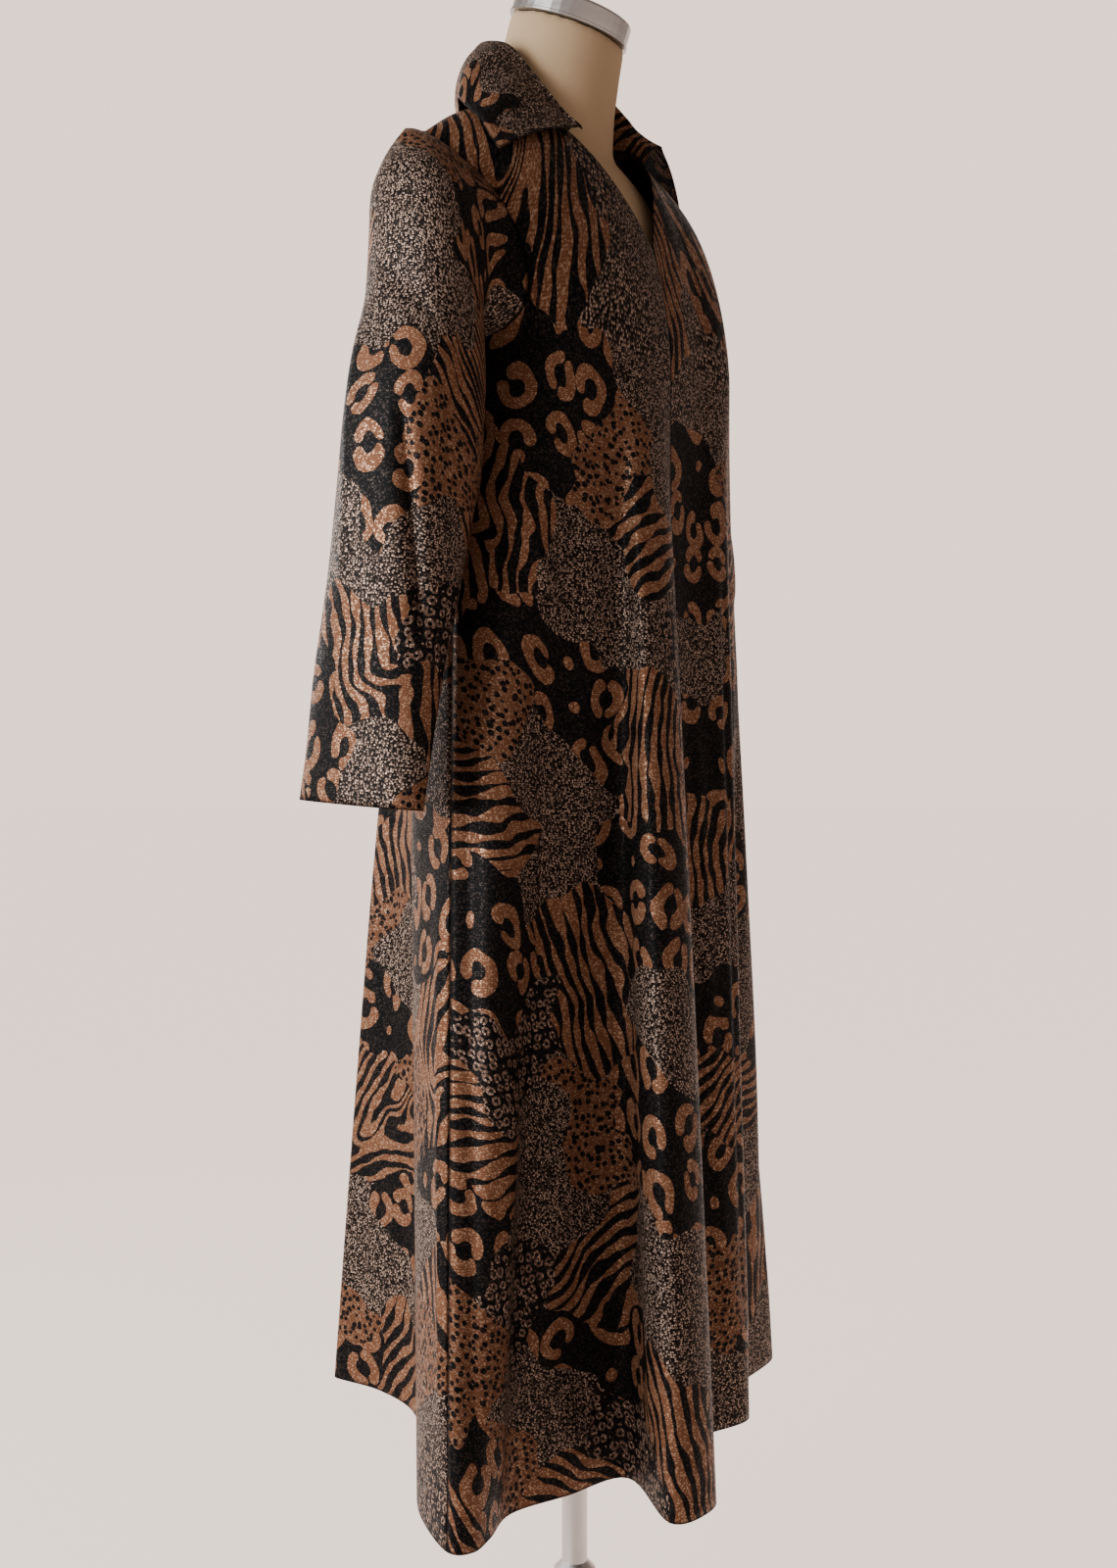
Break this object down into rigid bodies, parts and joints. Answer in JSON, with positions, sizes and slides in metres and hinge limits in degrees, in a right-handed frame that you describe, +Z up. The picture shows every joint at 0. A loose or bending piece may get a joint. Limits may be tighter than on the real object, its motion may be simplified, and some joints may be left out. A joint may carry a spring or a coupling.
{
  "type": "kaftan dress on dress form",
  "caption": "Long A-line kaftan dress with wide straight sleeves, a pointed turned-down collar and a V neck, hanging in deep folds on a limbless dress form on a round base.",
  "frame": {"origin": "middle of the underside of the stand's base", "axes": "+Z up along the pole; the dress faces -Y and the wearer's right is -X"},
  "size_m": [0.647, 0.484, 1.773],
  "materials": {
    "jersey": "printed metallic jersey",
    "linen": "bare linen",
    "cap_metal": "brushed",
    "stand_metal": "satin"
  },
  "bodies": {
    "root": {"front_right": "jersey", "front_left": "jersey", "back": "jersey", "sleeve_right": "jersey", "sleeve_left": "jersey", "collar": "jersey", "form_body": "linen", "neck_cap": "cap_metal", "stand_pole": "stand_metal", "stand_base": "stand_metal"}
  },
  "joints": []
}
